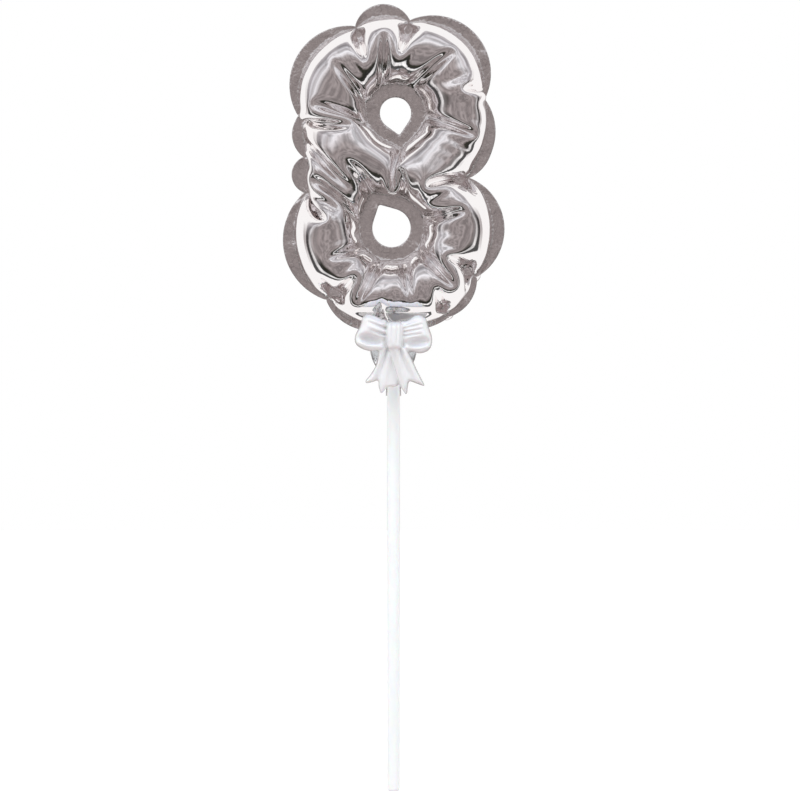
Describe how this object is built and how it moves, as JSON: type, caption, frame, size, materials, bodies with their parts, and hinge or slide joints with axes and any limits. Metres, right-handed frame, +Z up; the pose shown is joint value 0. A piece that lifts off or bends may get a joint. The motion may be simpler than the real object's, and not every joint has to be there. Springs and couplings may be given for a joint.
{
  "type": "foil balloon cake topper",
  "caption": "Small silver foil balloon shaped as a figure eight, sitting in a clear cup on a white plastic stick, with a moulded pearl bow pegged to the cup's front.",
  "frame": {"origin": "middle of the flat at the stick's lower tip", "axes": "+Z up along the stick, -Y towards the viewer of the balloon's front, +X to that viewer's right"},
  "size_m": [0.0887, 0.0326, 0.3149],
  "materials": {
    "stick_plastic": "satin",
    "cup_clear": "gloss",
    "bow_pearl": "gloss",
    "foil_front": "polished",
    "foil_back": "polished",
    "foil_tail": "polished",
    "valve_film": "gloss"
  },
  "bodies": {
    "stick": {"stick": "stick_plastic"},
    "cup": {"holder_cup": "cup_clear"},
    "bow": {"bow": "bow_pearl"},
    "neck": {"front_foil_tail": "foil_tail", "back_foil_tail": "foil_tail"},
    "balloon": {"front_foil_sheet": "foil_front", "back_foil_sheet": "foil_back", "valve_front_film": "valve_film", "valve_back_film": "valve_film"}
  },
  "joints": [
    {"name": "head_swivel", "type": "hinge", "parent": "stick", "child": "cup", "pos_m": [0, 0, 0.167], "axis": [0, 0, 1], "continuous": true},
    {"name": "bow_pull", "type": "slide", "parent": "cup", "child": "bow", "axis": [0, -1, 0], "range_m": [0, 0.007]},
    {"name": "balloon_pull", "type": "slide", "parent": "cup", "child": "neck", "axis": [0, 0, 1], "range_m": [0, 0.012]},
    {"name": "balloon_nod", "type": "hinge", "parent": "neck", "child": "balloon", "pos_m": [0, 0, 0.1815], "axis": [1, 0, 0], "range_deg": [-8, 8], "stiffness_Nm_per_rad": 0.012}
  ]
}
